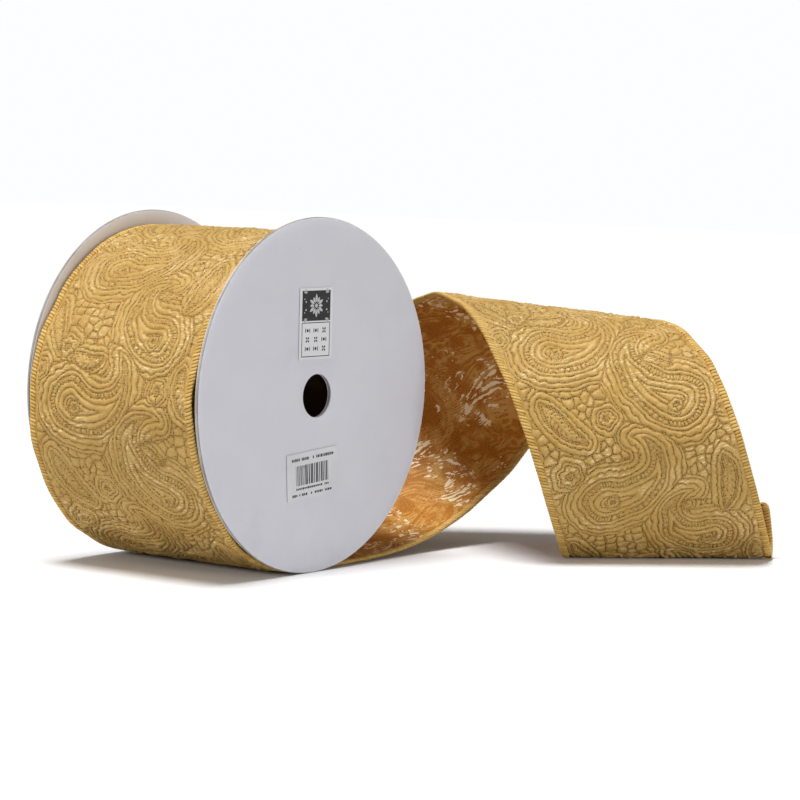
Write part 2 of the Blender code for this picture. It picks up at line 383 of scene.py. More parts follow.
def quads(rows, columns, first=0, wrap=False, loop=False):
    """Faces of a grid of points, numbered row by row. wrap joins the last column to the first,
    and loop joins the last row to the first."""
    index = first + np.arange(rows * columns).reshape(rows, columns)
    if wrap:
        index = np.concatenate([index, index[:, :1]], axis=1)
    if loop:
        index = np.concatenate([index, index[:1]])
    return np.stack([index[:-1, :-1], index[:-1, 1:], index[1:, 1:], index[1:, :-1]], -1).reshape(-1, 4)


# %% [markdown]
# The ribbon that has come off the roll is one long strip. First comes the slack outer turn, which
# peels off the roll, passes over the top and sags to the floor. Then comes the tail, which lifts
# off the floor, arches over and curls at its tip. Cloth bends along straight lines, so the strip
# is walked in small steps, each of which turns it about one straight bend line. Where the bend
# line is skewed, the strip winds sideways as it bends, without stretching.

# %% The ribbon's sizes and its route, as in the model
RIBBON_WIDTH = 0.1016
EDGING_WIDTH = 0.0038
EDGING_HEIGHT = 0.0022
FLOOR_LIFT = 0.0013
LOOSE_TURN = (
    (-150, 0.0748, 0.0748),
    (-120, 0.0749, 0.0749),
    (-90, 0.0751, 0.0751),
    (-60, 0.07525, 0.07525),
    (-30, 0.0755, 0.0755),
    (0, 0.0759, 0.0759),
    (30, 0.0780, 0.0775),
    (60, 0.0806, 0.0798),
    (90, 0.0836, 0.0848),
    (120, 0.0822, 0.0864),
    (150, 0.0838, 0.0856),
    (180, 0.0827, 0.0827),
)
TAIL_START_X = 0.0060
TAIL_BENDS = (
    (0.000, 0.0, 0.00),
    (0.019, 1.0, 0.06),
    (0.069, 7.7, 0.39),
    (0.119, 7.4, 0.89),
    (0.169, 12.9, 0.84),
    (0.219, 16.1, 0.40),
    (0.269, 13.0, 0.53),
    (0.319, 15.0, 0.50),
    (0.369, 14.8, 0.27),
    (0.419, 10.9, 0.35),
    (0.4440, 11.0, 0.35),
    (0.4514, 9.0, 0.35),
    (0.4524, 165.0, 0.35),
    (0.4556, 165.0, 0.35),
    (0.4566, 0.0, 0.35),
    (0.4746, 0.0, -0.12),
    (0.4756, 130.0, -0.12),
    (0.4866, 130.0, -0.12),
    (0.4876, 18.0, -0.12),
    (0.5006, 36.0, -0.12),
    (0.5016, 130.0, -0.12),
    (0.5085, 130.0, -0.12),
    (0.5090, 0.0, -0.12),
)
TAIL_WALK = 0.0005


# %% Reading smoothly between the rows of a table
def smooth_reading(rows, at):
    """The values at a place in (place, value...) rows, on a smooth curve through every row."""
    last = len(rows) - 1
    i = max(k for k in range(last) if k == 0 or rows[k][0] <= at)
    near = [rows[max(i - 1, 0)], rows[i], rows[i + 1], rows[min(i + 2, last)]]
    t = (at - rows[i][0]) / (rows[i + 1][0] - rows[i][0])
    values = []
    for a, b, c, d in zip(*(row[1:] for row in near)):
        cubic = 3 * (b - c) + d - a
        square = 2 * a - 5 * b + 4 * c - d
        values.append(b + 0.5 * t * (c - a + t * (square + t * cubic)))
    return values


def loose_turn_lines():
    """Middle, across direction of each line over the loose turn, every half degree."""
    front_y = (SPOOL_WIDTH - RIBBON_WIDTH) / 2
    middles, acrosses = [], []
    for angle in np.arange(LOOSE_TURN[0][0], LOOSE_TURN[-1][0] + 0.01, 0.5):
        front, rear = smooth_reading(LOOSE_TURN, angle)
        a = radians(angle)
        ends = [np.array((-r * sin(a), y, r * cos(a)))
                for r, y in ((front, front_y), (rear, front_y + RIBBON_WIDTH))]
        middles.append((ends[0] + ends[1]) / 2)
        acrosses.append((ends[0] - ends[1]) / RIBBON_WIDTH)
    return middles, acrosses


def tail_lines():
    """The same for the tail, walked from the floor to the curled tip."""
    centre = Vector((TAIL_START_X, SPOOL_WIDTH / 2, FLOOR_LIFT - FLANGE_RADIUS))
    along, across = Vector((1, 0, 0)), Vector((0, -1, 0))
    places, bends, skews = (np.array(column) for column in zip(*TAIL_BENDS))
    middles, acrosses = [np.array(centre)], [np.array(across)]
    for k in range(1, round(places[-1] / TAIL_WALK) + 1):
        at = (k - 0.5) * TAIL_WALK
        bend, skew = float(np.interp(at, places, bends)), float(np.interp(at, places, skews))
        axis = bend * (across + skew * along)
        turn = Matrix.Rotation(axis.length * TAIL_WALK, 3, axis)
        before = along.copy()
        along.rotate(turn)
        across.rotate(turn)
        centre += (before + along).normalized() * TAIL_WALK
        middles.append(np.array(centre))
        acrosses.append(np.array(across + float(np.interp(k * TAIL_WALK, places, skews)) * along))
    return middles, acrosses


# %% The whole strip, respaced to even steps along its length
turn_middles, turn_acrosses = loose_turn_lines()
tail_middles, tail_acrosses = tail_lines()
PATH = np.array(turn_middles + tail_middles)
ACROSS = np.array(turn_acrosses + tail_acrosses)
PLACE = np.concatenate([[0.0], np.cumsum(np.linalg.norm(np.diff(PATH, axis=0), axis=1))])
LENGTH = float(PLACE[-1])
TURN_LENGTH = float(PLACE[len(turn_middles) - 1])
print(f"free ribbon {LENGTH:.3f} m long, of which {TURN_LENGTH:.3f} m round the roll")


def strip_lines(step):
    """Place, middle, across and inward direction, and skew, of evenly spaced lines over the strip."""
    count = int(LENGTH / step / 2) * 2 + 1
    place = np.linspace(0.0, LENGTH, count)
    middle = np.stack([np.interp(place, PLACE, PATH[:, k]) for k in range(3)], -1)
    across = np.stack([np.interp(place, PLACE, ACROSS[:, k]) for k in range(3)], -1)
    along = np.gradient(middle, axis=0)
    along /= np.linalg.norm(along, axis=1, keepdims=True)
    inward = np.cross(across, along)
    inward /= np.linalg.norm(inward, axis=1, keepdims=True)
    return place, middle, across, inward, np.sum(across * along, axis=1)


RIPPLE_START = 0.235
RIPPLE_GROWTH = 0.050
RIPPLE_SIZE = 0.00038
FLAT_UP_TO, FREE_AFTER = 0.004, 0.012
RIPPLES = ((1.0, 0.043, 1.9), (0.7, 0.026, 3.1), (0.5, 0.081, -1.2))


def ripple(place, offset, height):
    """Slow waves that wired cloth keeps near its edges; none on the roll or on the floor."""
    side = offset / (RIBBON_WIDTH / 2)
    wave = sum(size * np.sin(2 * pi * place / length + slant * side) for size, length, slant in RIPPLES)
    free = np.clip((height + FLANGE_RADIUS - FLAT_UP_TO) / FREE_AFTER, 0, 1)
    loose = np.clip((place - RIPPLE_START) / RIPPLE_GROWTH, 0, 1)
    return RIPPLE_SIZE * wave * np.abs(side) ** 1.5 * free * loose


def strip_point(lines, offset, lift):
    """Points at an offset across the strip (+ is the front edge) and a lift towards its inner face."""
    place, middle, across, inward, skew = (part[:, None] for part in lines)
    base = middle + offset[..., None] * across
    return HUB + base + (lift + ripple(place, offset, base[..., 2]))[..., None] * inward


# %% [markdown]
# The cloth is quilted: two layers are stitched together along curling outlines, and the cloth
# between the stitches puffs up. What matters is therefore the distance to the nearest line of
# stitching. Each outline is a string of circles along a bent path: with circles that shrink
# steadily it is a paisley drop, and with circles that swell and shrink again it is a leaf. The
# distance to such a shape is easy to work out, and lines at several distances give its echoes.

# %% Repeat of the pattern
REPEAT = 152.0
PATTERN_STEP = 0.3
rows_of_pattern = int(REPEAT / PATTERN_STEP)
columns_of_pattern = int(RIBBON_WIDTH * 1000 / PATTERN_STEP) + 1
CLOTH_X, CLOTH_Y = np.meshgrid(
    np.arange(rows_of_pattern) * PATTERN_STEP,
    (np.arange(columns_of_pattern) - columns_of_pattern // 2) * PATTERN_STEP, indexing="ij")
print("pattern worked out on", CLOTH_X.shape, "points, in millimetres")


def wander_map(cell, seed):
    """Smooth random values over the repeat, from -1 to 1; cell is the size of the waves."""
    draw = np.random.default_rng(seed)
    across = int(RIBBON_WIDTH * 1000 / cell) + 3
    along = max(3, round(REPEAT / cell))
    grid = draw.uniform(-1, 1, (along, across))
    x = CLOTH_X / REPEAT * along
    y = (CLOTH_Y - CLOTH_Y.min()) / cell
    i, j = x.astype(int), y.astype(int)
    tx, ty = (t * t * (3 - 2 * t) for t in (x - i, y - j))
    low = grid[i % along, j] * (1 - tx) + grid[(i + 1) % along, j] * tx
    high = grid[i % along, j + 1] * (1 - tx) + grid[(i + 1) % along, j + 1] * tx
    return low * (1 - ty) + high * ty


# %% Distance to a drop or a leaf
CIRCLES = 46
NOTHING_YET = 1e3
DRAWN_X = CLOTH_X + 1.00 * wander_map(9.0, 1) + 0.45 * wander_map(3.5, 2)
DRAWN_Y = CLOTH_Y + 1.00 * wander_map(9.0, 3) + 0.45 * wander_map(3.5, 4)


def string_of_circles(x, y, heading, length, bend, curl, girth, kind):
    """Distance to the outline (less than 0 inside) and place along it, all in millimetres."""
    distance = np.full(CLOTH_X.shape, NOTHING_YET)
    place = np.zeros(CLOTH_X.shape)
    angle = radians(heading)
    for k in range(CIRCLES):
        t = k / (CIRCLES - 1)
        radius = girth * ((1 - t) ** 0.8 if kind == "drop" else sin(pi * t) ** 0.7) + 0.2
        dx = (DRAWN_X - x + REPEAT / 2) % REPEAT - REPEAT / 2
        dy = DRAWN_Y - y
        near = np.hypot(dx, dy) - radius
        nearer = near < distance
        turned = np.arctan2(dy, dx) - angle
        turned = (turned + pi) % (2 * pi) - pi
        sided = length * t + (pi / 2 - np.abs(turned)) * max(radius, 1.0)
        place[nearer] = sided[nearer]
        distance[nearer] = near[nearer]
        x += length / (CIRCLES - 1) * cos(angle)
        y += length / (CIRCLES - 1) * sin(angle)
        angle += radians(bend + curl * t) / (CIRCLES - 1)
    return distance, place


# %% [markdown]
# A paisley cloth fills its ground: large drops that curl past each other, leaves in the gaps,
# small flowers inside the drops, and pebbles where nothing else fits. Each shape owns the ground
# that is nearest to it. Inside its ground the stitching runs in echoes of its outline, some of them
# scalloped, with a row of beads between two of them.

# %% Shapes of the pattern
FAR = 99.0
NEAR_A_SHAPE = 8.5
GROUND_STARTS = 7.6
# Along the ribbon, across it, heading, length, bend, extra bend at the tip, girth
DROPS = (
    (22, -24, 62, 58, 95, 190, 14.5),
    (66, 27, -118, 62, -80, -210, 15.5),
    (104, -22, 78, 54, 70, 220, 13.5),
    (142, 24, -98, 50, -115, -150, 12.5),
)
LEAVES = (
    (30, 12, 15, 27, 60, 0, 4.2),
    (46, -38, 10, 30, 40, 0, 4.0),
    (90, 4, -35, 26, -70, 0, 4.4),
    (98, 40, 5, 30, -35, 0, 4.0),
    (126, -44, 8, 28, 30, 0, 3.6),
    (128, -2, 40, 24, 60, 0, 4.0),
    (2, 44, -6, 26, 40, 0, 3.6),
    (0, -6, -60, 22, -60, 0, 3.8),
)
FLOWERS = (
    (50, 6, 5.6, 6), (14, 30, 5.0, 5), (84, -36, 5.4, 6), (118, 14, 5.0, 5), (148, -30, 5.4, 6),
    (24, -21, 3.6, 5), (68, 25, 3.8, 6), (105, -19, 3.4, 5), (143, 21, 3.2, 5),
    (76, 46, 4.4, 5), (8, -44, 4.0, 5), (64, -10, 4.0, 5),
)


def stitch_lines(distance, levels, place=None, scallop=0.0, pitch=3.4):
    """Distance to the nearest of several outlines, which may be scalloped along their length."""
    if place is not None and scallop:
        distance = distance - scallop * (np.abs(np.sin(pi * place / pitch)) - 0.5)
    return np.min([np.abs(distance - level) for level in levels], axis=0)


def beads(distance, place, low, high, pitch):
    """Distance to short cross stitches between two outlines; far away elsewhere."""
    cross = pitch * np.abs((place / pitch) % 1.0 - 0.5)
    return np.where((distance > low) & (distance < high), cross, FAR)


# %% Laying out the stitching
def lay_out_pattern():
    """Distance to the nearest shape, whose ground it is, and to the nearest stitching."""
    nearest = np.full(CLOTH_X.shape, NOTHING_YET)
    stitching = np.full(CLOTH_X.shape, NOTHING_YET)
    shapes = []
    for number, drop in enumerate(DROPS):
        distance, place = string_of_circles(*drop, kind="drop")
        lines = np.minimum.reduce([
            stitch_lines(distance, (0.0, -2.1)),
            stitch_lines(distance, (2.9,), place, 1.0, 4.6),
            stitch_lines(distance, (5.7,), place, 0.6, 6.5),
            stitch_lines(distance, (-5.0,), place, 0.8, 3.1),
            stitch_lines(distance, (-7.4, -10.6, -12.6)),
            beads(distance, place, -5.0, -2.1, 2.1 + 0.2 * (number % 2)),
        ])
        shapes.append((distance, lines))
    for leaf in LEAVES:
        distance, place = string_of_circles(*leaf, kind="leaf")
        veins = beads(distance, place + np.abs(distance) * 0.9, -3.6, -0.9, 2.6)
        lines = np.minimum.reduce([stitch_lines(distance, (0.0, -1.0)), veins,
                                   stitch_lines(distance, (1.9,), place, 0.7, 3.6)])
        shapes.append((distance + 2.6, lines))
    for x, y, size, petals in FLOWERS:
        dx = (DRAWN_X - x + REPEAT / 2) % REPEAT - REPEAT / 2
        dy = DRAWN_Y - y
        radius = np.hypot(dx, dy)
        angle = np.arctan2(dy, dx)
        distance = radius - size * (0.80 + 0.20 * np.abs(np.cos(petals * angle / 2)))
        rays = np.where((radius > 0.34 * size) & (distance < 0),
                        radius * np.abs(np.sin(petals * angle / 2)) * 0.8, FAR)
        lines = np.minimum.reduce([stitch_lines(distance, (0.0, 1.7)), rays,
                                   stitch_lines(radius, (0.34 * size, 0.12 * size))])
        in_drop = size < 3.9
        shapes.append((distance * 4 - 14 if in_drop else distance + 3.2, lines))
    for distance, lines in shapes:
        owned = distance < nearest
        border = np.abs(distance - nearest) * 0.5
        own = np.minimum(lines, np.where(nearest < NEAR_A_SHAPE, border, FAR))
        meeting = (distance < NEAR_A_SHAPE) & (nearest < NEAR_A_SHAPE)
        others = np.where(meeting, np.minimum(stitching, border), stitching)
        stitching = np.where(owned, own, others)
        nearest = np.minimum(nearest, distance)
    return nearest, stitching


def pebbles(cell, seed):
    """Half the difference between the two nearest of many scattered points."""
    draw = np.random.default_rng(seed)
    along = round(REPEAT / cell)
    across = int(RIBBON_WIDTH * 1000 / cell) + 4
    shift = draw.uniform(0.12, 0.88, (along, across, 2))
    x = DRAWN_X / (REPEAT / along)
    y = (DRAWN_Y - DRAWN_Y.min()) / cell + 1
    i, j = np.floor(x).astype(int), np.floor(y).astype(int)
    found = []
    for di in (-1, 0, 1):
        for dj in (-1, 0, 1):
            points = shift[(i + di) % along, np.clip(j + dj, 0, across - 1)]
            found.append(np.hypot(x - i - di - points[..., 0], y - j - dj - points[..., 1]))
    found = np.sort(found, axis=0)
    return (found[1] - found[0]) * 0.5 * cell


OWNER, STITCHING = lay_out_pattern()
GROUND = OWNER > GROUND_STARTS
STITCHING = np.where(GROUND, pebbles(4.8, 5), STITCHING)
STITCHING = np.minimum(STITCHING, np.abs(OWNER - GROUND_STARTS))
print(f"pebble ground {GROUND.mean():.2f} of the cloth, stitching {np.mean(STITCHING < 0.35):.2f} of it")

# %% [markdown]
# The puffs rise steeply beside the stitches and then level off, so the profile joins a quick rise
# with a slow one. The figure map says where the shiny side of the yarns is brought to the front:
# on the gold face it sets where glints are painted into the colour, and the other side shows pale
# patches in the same places.

# %% Height of the quilting and the woven figure
QUICK_SHARE, QUICK_RISE, SLOW_RISE = 0.38, 0.36, 2.0
SEAM_REACH, SOFT_SEAM_REACH = 0.34, 0.55
quick = 1 - np.exp(-STITCHING / QUICK_RISE)
slow = np.sqrt(np.clip(STITCHING / SLOW_RISE, 0, 1))
PUFF = QUICK_SHARE * quick + (1 - QUICK_SHARE) * slow
UNEVEN = PUFF * (0.84 + 0.20 * wander_map(6.0, 6))
PUFF = np.clip(UNEVEN + 0.15 * wander_map(1.7, 7) * (STITCHING > 0.3), 0, 1)
SEAM = np.exp(-(STITCHING / SEAM_REACH) ** 2)
SOFT_SEAM = np.exp(-(STITCHING / SOFT_SEAM_REACH) ** 2)
FIGURE = np.clip(0.55 + 1.2 * wander_map(17.0, 8) + 0.7 * wander_map(6.0, 9), 0, 1)
FIGURE *= np.clip((STITCHING - 0.25) / 0.6, 0, 1)


def read_pattern(pattern, along, across):
    """The pattern's value at places on the ribbon, in metres; it repeats along the ribbon."""
    x = (along * 1000 % REPEAT) / PATTERN_STEP
    y = np.clip(across * 1000 / PATTERN_STEP + columns_of_pattern // 2, 0, columns_of_pattern - 1.001)
    i, j = x.astype(int), y.astype(int)
    tx, ty = x - i, y - j
    i, after = i % rows_of_pattern, (i + 1) % rows_of_pattern
    low = pattern[i, j] * (1 - tx) + pattern[after, j] * tx
    high = pattern[i, j + 1] * (1 - tx) + pattern[after, j + 1] * tx
    return low * (1 - ty) + high * ty


print(f"mean puff {PUFF.mean():.2f}, woven figure {FIGURE.mean():.2f}")

# %% [markdown]
# The cloth itself is one closed mesh: a fine grid for the quilted gold face, a coarser one for the
# copper face, and a thin rim that joins them. The puffs are real shape, pushed out from the face,
# because light grazes the arch and bump alone would look flat there and at the outline. Where the
# cloth lies on the table they are pressed flat. The stitches pull the copper face in less sharply,
# so it reads a softer seam.

# %% Quilted cloth
CLOTH_STEP = 0.00047
CLOTH_HALF_WIDTH = RIBBON_WIDTH / 2 - 0.0014
SEAM_DEPTH = 0.00012
PUFF_HEIGHT = 0.00170
BACK_DEPTH = 0.00022
BACK_RELIEF = 0.00014
HEM_WIDTH = 0.0030
HEM_OVERLAP = 0.0006
TABLE_GAP = 0.0002


def hem(offset):
    """0 at the thread-wrapped edges, where the puffs are squeezed flat, and 1 in the cloth."""
    t = np.clip((RIBBON_WIDTH / 2 - EDGING_WIDTH - np.abs(offset) + HEM_OVERLAP) / HEM_WIDTH, 0, 1)
    return t * t * (3 - 2 * t)


def make_cloth(name, lines, materials, columns):
    """A closed quilted strip from its lines; the quilted face is material 0, the other 1."""
    place, *_, skew = lines
    offset = np.linspace(-CLOTH_HALF_WIDTH, CLOTH_HALF_WIDTH, columns)[None, :]
    along = place[:, None] + offset * skew[:, None]
    offset = np.broadcast_to(offset, along.shape)
    puff = read_pattern(PUFF, along, offset) * hem(offset)
    faces_up = strip_point(lines, offset, -(SEAM_DEPTH + PUFF_HEIGHT * puff))
    faces_up[..., 2] = np.maximum(faces_up[..., 2], TABLE_GAP)
    back = (slice(None, None, 2), slice(None, None, 2))
    lift = BACK_DEPTH + BACK_RELIEF * puff[back]
    faces_down = strip_point([part[::2] for part in lines], offset[back], lift)
    rows, back_rows, back_columns = len(place), len(place[::2]), (columns + 1) // 2
    first_back = rows * columns
    top = np.arange(first_back).reshape(rows, columns)
    low = first_back + np.arange(back_rows * back_columns).reshape(back_rows, back_columns)

    def rim(edge, back_edge):
        return np.stack([edge[:-2:2], edge[1:-1:2], edge[2::2], back_edge[1:], back_edge[:-1]], -1)

    parts = [
        quads(rows, columns)[:, ::-1], quads(back_rows, back_columns, first_back),
        rim(top[:, -1], low[:, -1]), rim(top[:, 0], low[:, 0])[:, ::-1],
        rim(top[0], low[0]), rim(top[-1], low[-1])[:, ::-1],
    ]
    slots = np.concatenate([np.full(len(part), 1 if k == 1 else 0) for k, part in enumerate(parts)])
    flat = np.concatenate([np.stack([along.ravel(), offset.ravel()], -1),
                           np.stack([along[back].ravel(), offset[back].ravel()], -1)])
    values = {key: read_pattern(pattern, flat[:, 0], flat[:, 1])
              for key, pattern in (("puff", PUFF), ("seam", SEAM), ("figure", FIGURE))}
    values["seam"] *= hem(flat[:, 1])
    values["seam"][first_back:] = read_pattern(SOFT_SEAM, flat[first_back:, 0], flat[first_back:, 1])
    points = np.concatenate([faces_up.reshape(-1, 3), faces_down.reshape(-1, 3)])
    return add_mesh(name, points, parts, materials, uv=flat, values=values, slots=slots)


# %% [markdown]
# Gold satin: the yarns are smooth and shiny, so the shader is soft but not matt, with a little
# sheen. Colour does most of the work, and it also carries painted shade and painted highlights.
# Stitch lines and needle holes are painted darker, as shade in the sunk seams and the holes, and
# the puffs are painted darker towards the stitches, as shade in the hollows. Where the figure is
# woven, short pale streaks across the ribbon are painted glints.


# %% Gold face
def make_gold_face():
    material, tree, shader = start_material(
        "gold_satin", Sheen_Weight=0.25, Sheen_Roughness=0.35, Sheen_Tint=paint(255, 226, 160),
        Specular_IOR_Level=0.42)
    cloth = add_node(tree, "UVMap", uv_map="cloth").outputs[0]
    puff, seam, figure = read_values(tree, "puff", "seam", "figure")
    weave = use_group(tree, WEAVE, {"Coordinates": cloth, "Threads per metre": 1700.0})
    cloud = remap(tree, noise(tree, cloth, 55.0, 4.0, 0.6), 0.3, 0.7)
    base = mix_colours(tree, cloud, paint(197, 160, 84), paint(216, 181, 107))
    # Painted shade: the cloth is painted darker where the puff is low, towards the stitches, as shade in
    # the hollows.
    hollows_painted_dark = mix_colours(tree, remap(tree, puff, 0.0, 0.55), paint(180, 141, 70), base)
    # Painted glints: where the figure is, short pale streaks across the ribbon lighten the colour.
    stretched = add_node(tree, "VectorMath", {0: cloth, 1: (1500.0, 250.0, 1.0)}, operation="MULTIPLY")
    glint_streaks = remap(tree, noise(tree, stretched.outputs[0], 1.0, 2.0, 0.6), 0.52, 0.60)
    painted_glint = calculate(tree, "MULTIPLY", glint_streaks, remap(tree, figure, 0.42, 0.85))
    threads = mix_colours(tree, painted_glint, hollows_painted_dark, paint(244, 224, 174))
    grains = remap(tree, noise(tree, cloth, 1700.0, 3.0, 0.7), 0.42, 0.60)
    grained = mix_colours(tree, calculate(tree, "MULTIPLY", grains, 0.30), threads, paint(150, 108, 42))
    woven = calculate(tree, "MULTIPLY", weave["Tint"], 0.25)
    tinted = mix_colours(tree, woven, grained, paint(156, 112, 44))
    holes = add_node(tree, "TexVoronoi", {"Vector": cloth, "Scale": 880.0, "Randomness": 0.35})
    hole = remap(tree, holes.outputs["Distance"], 0.44, 0.24)
    needle = calculate(tree, "MULTIPLY", hole, remap(tree, seam, 0.15, 0.50))
    # Painted shade: the sunk stitch lines and the needle holes are painted dark brown.
    seam_and_hole_shade = calculate(tree, "MAXIMUM", calculate(tree, "MULTIPLY", seam, 0.14),
                     calculate(tree, "MULTIPLY", needle, 0.95))
    colour = mix_colours(tree, seam_and_hole_shade, tinted, paint(104, 70, 22))
    rough = calculate(tree, "MULTIPLY_ADD", painted_glint, -0.12, 0.50)
    rough = calculate(tree, "MULTIPLY_ADD", seam, 0.2, rough)
    height = calculate(tree, "MULTIPLY_ADD", needle, -2.5, weave["Height"])
    crumple = noise(tree, cloth, 480.0, 3.0, 0.6)
    total = calculate(tree, "MULTIPLY_ADD", crumple, 1.6, height)
    dress(tree, shader, colour, rough, bump(tree, total, 0.55, 0.00012))
    return material


GOLD_FACE = make_gold_face()
print("finish:", GOLD_FACE.name)

# %% [markdown]
# The other face is the wrong side of the same weave. Copper-brown yarns cover it, and the gold ones
# come through only as broken outlines and pale, silky patches where the figure floats.


# %% Copper face
def make_copper_face():
    material, tree, shader = start_material(
        "copper_weave", Sheen_Weight=0.15, Sheen_Roughness=0.4, Sheen_Tint=paint(255, 200, 130),
        Specular_IOR_Level=0.35)
    cloth = add_node(tree, "UVMap", uv_map="cloth").outputs[0]
    puff, seam, figure = read_values(tree, "puff", "seam", "figure")
    weave = use_group(tree, WEAVE,
                      {"Coordinates": cloth, "Threads per metre": 1500.0, "Unevenness": 0.9})
    cloud = remap(tree, noise(tree, cloth, 90.0, 5.0, 0.65), 0.32, 0.68)
    base = mix_colours(tree, cloud, paint(194, 122, 22), paint(206, 136, 34))
    grains = remap(tree, noise(tree, cloth, 1200.0, 3.0, 0.7), 0.42, 0.60)
    speckled = mix_colours(tree, calculate(tree, "MULTIPLY", grains, 0.65), base, paint(122, 74, 14))
    outline = calculate(tree, "MULTIPLY", remap(tree, seam, 0.20, 0.70),
                        remap(tree, noise(tree, cloth, 90.0, 2.0), 0.38, 0.56))
    faint = calculate(tree, "MULTIPLY", outline, 0.65)
    echoed = mix_colours(tree, faint, speckled, paint(226, 180, 102))
    blobs = calculate(tree, "MULTIPLY_ADD", figure, 0.30, noise(tree, cloth, 230.0, 5.0, 0.62))
    patch = remap(tree, blobs, 0.695, 0.72)
    colour = mix_colours(tree, patch, echoed, paint(252, 234, 196))
    rough = calculate(tree, "MULTIPLY_ADD", patch, -0.25, 0.62)
    low = calculate(tree, "MULTIPLY_ADD", puff, 0.8, weave["Height"])
    dress(tree, shader, colour, rough, bump(tree, low, 0.6, 0.00014))
    return material


COPPER_FACE = make_copper_face()
print("finish:", COPPER_FACE.name)

# %% The free cloth
cloth_lines = strip_lines(CLOTH_STEP)
CLOTH_COLUMNS = 217
free_cloth = make_cloth("free_ribbon_cloth", cloth_lines, [GOLD_FACE, COPPER_FACE], CLOTH_COLUMNS)
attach(free_cloth, "ribbon")
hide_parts("loose_turn", "ribbon_tail")
print("free cloth:", len(free_cloth.data.polygons), "faces")

# %% [markdown]
# Each edge is overlocked: thick thread is wrapped round the cloth's edge and a thin wire, one
# slanting loop beside the next. The shape is a flat tube that follows the edge, with a groove
# between neighbouring loops. The grooves run on round the tube like a screw with two starts, so
# they meet themselves. Loops also end a little unevenly on the cloth.

# %% Overlocked edge
EDGE_STEP = 0.00021
EDGE_POINTS = 22
LOOP_PITCH = 0.00168
LOOP_STARTS = 2
GROOVE = 0.00055
EDGE_MIDDLE = RIBBON_WIDTH / 2 - EDGING_WIDTH / 2
EDGING_GIRTH = 0.0013


def make_edging(name, lines, side, material):
    """The wrapped thread along one edge; side is +1 at the front edge and -1 at the rear one."""
    draw = np.random.default_rng(11 + side)
    place, *_, skew = lines
    theta = np.arange(EDGE_POINTS) * 2 * pi / EDGE_POINTS
    along = (place + side * EDGE_MIDDLE * skew)[:, None]
    turns = along / LOOP_PITCH + LOOP_STARTS * theta[None, :] / (2 * pi)
    loop = np.floor(turns).astype(int)
    inside = np.abs(turns - loop - 0.5) * 2
    groove = inside ** 3
    uneven = draw.uniform(-1, 1, loop.max() - loop.min() + 1)[loop - loop.min()]
    round_y = np.sign(np.cos(theta)) * np.abs(np.cos(theta)) ** 0.85
    round_z = np.sign(np.sin(theta)) * np.abs(np.sin(theta)) ** 0.85
    reach = np.where(round_y < 0, 1 + 0.22 * uneven, 1 + 0.03 * uneven)
    half_width = EDGING_WIDTH / 2 * reach - GROOVE * groove * 0.8
    half_height = EDGING_HEIGHT / 2 * (1 + 0.06 * uneven) - GROOVE * groove
    offset = side * (EDGE_MIDDLE + half_width * round_y[None, :])
    lift = half_height * round_z[None, :]
    points = strip_point(lines, offset, lift).reshape(-1, 3)
    faces = quads(len(place), EDGE_POINTS, wrap=True)
    tip = np.arange(EDGE_POINTS)
    ends = np.stack([tip[::-1], (len(place) - 1) * EDGE_POINTS + tip])
    if side > 0:
        faces, ends = faces[:, ::-1], ends[:, ::-1]
    flat = np.stack([np.broadcast_to(along, turns.shape).ravel(), (turns * LOOP_PITCH).ravel()], -1)
    girth = np.broadcast_to(theta[None, :] * EDGING_GIRTH, turns.shape)
    values = {"groove": groove, "loop_tint": 0.5 + 0.5 * uneven, "girth": girth}
    return add_mesh(name, points, [faces, ends], [material], uv=flat, values=values)


# %% [markdown]
# The thread is brighter and yellower than the cloth. The grooves between the loops are painted
# dark, as shade, so that it reads as thread rather than cord, and the twist of the strands is bump.


# %% Gold thread
def make_gold_thread():
    material, tree, shader = start_material(
        "gold_thread", Sheen_Weight=0.2, Sheen_Roughness=0.4, Sheen_Tint=paint(255, 220, 140),
        Specular_IOR_Level=0.4)
    cloth = add_node(tree, "UVMap", uv_map="cloth").outputs[0]
    split = add_node(tree, "SeparateXYZ", {0: cloth})
    groove, loop_tint, girth = read_values(tree, "groove", "loop_tint", "girth")
    strand = use_group(tree, SPUN_THREAD,
                       {"Along": girth, "Across": split.outputs[1], "Twists per metre": 1500.0})
    tone = mix_colours(tree, loop_tint, paint(208, 164, 78), paint(232, 194, 110))
    twist = calculate(tree, "MULTIPLY", strand["Tint"], 0.30)
    twisted = mix_colours(tree, twist, tone, paint(168, 122, 46))
    # Painted shade: the grooves between the loops are painted dark brown.
    gap = remap(tree, groove, 0.26, 0.85)
    colour = mix_colours(tree, gap, twisted, paint(82, 56, 22))
    rough = calculate(tree, "MULTIPLY_ADD", strand["Tint"], 0.15, 0.45)
    dress(tree, shader, colour, rough, bump(tree, strand["Height"], 0.5, 0.00010))
    return material


GOLD_THREAD = make_gold_thread()
print("finish:", GOLD_THREAD.name)

# %% Edgings of the free ribbon
edge_lines = strip_lines(EDGE_STEP)
for end, side in (("front", 1), ("rear", -1)):
    edging = make_edging(f"free_{end}_edging", edge_lines, side, GOLD_THREAD)
    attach(edging, "ribbon")
    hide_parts(f"turn_{end}_edging", f"tail_{end}_edging")
    print(edging.name, len(edging.data.polygons), "faces")

# %% [markdown]
# A thin steel wire lies inside each edging and lets the ribbon keep its shape. Only its cut ends
# could ever be seen, but it has to follow the same waves as the thread around it.

# %% Edge wires
WIRE_RADIUS = 0.00025
WIRE_OFFSET = 0.0495
WIRE_POINTS = 8
WIRE_STEP = 0.0015


def make_wire_finish():
    material, tree, shader = start_material("steel_wire", Metallic=1.0)
    place = place_in_space(tree)
    drawn = noise(tree, place, 1800.0, 3.0)
    colour = mix_colours(tree, drawn, paint(150, 150, 152), paint(196, 196, 200))
    dress(tree, shader, colour, calculate(tree, "MULTIPLY_ADD", drawn, 0.2, 0.3))
    return material


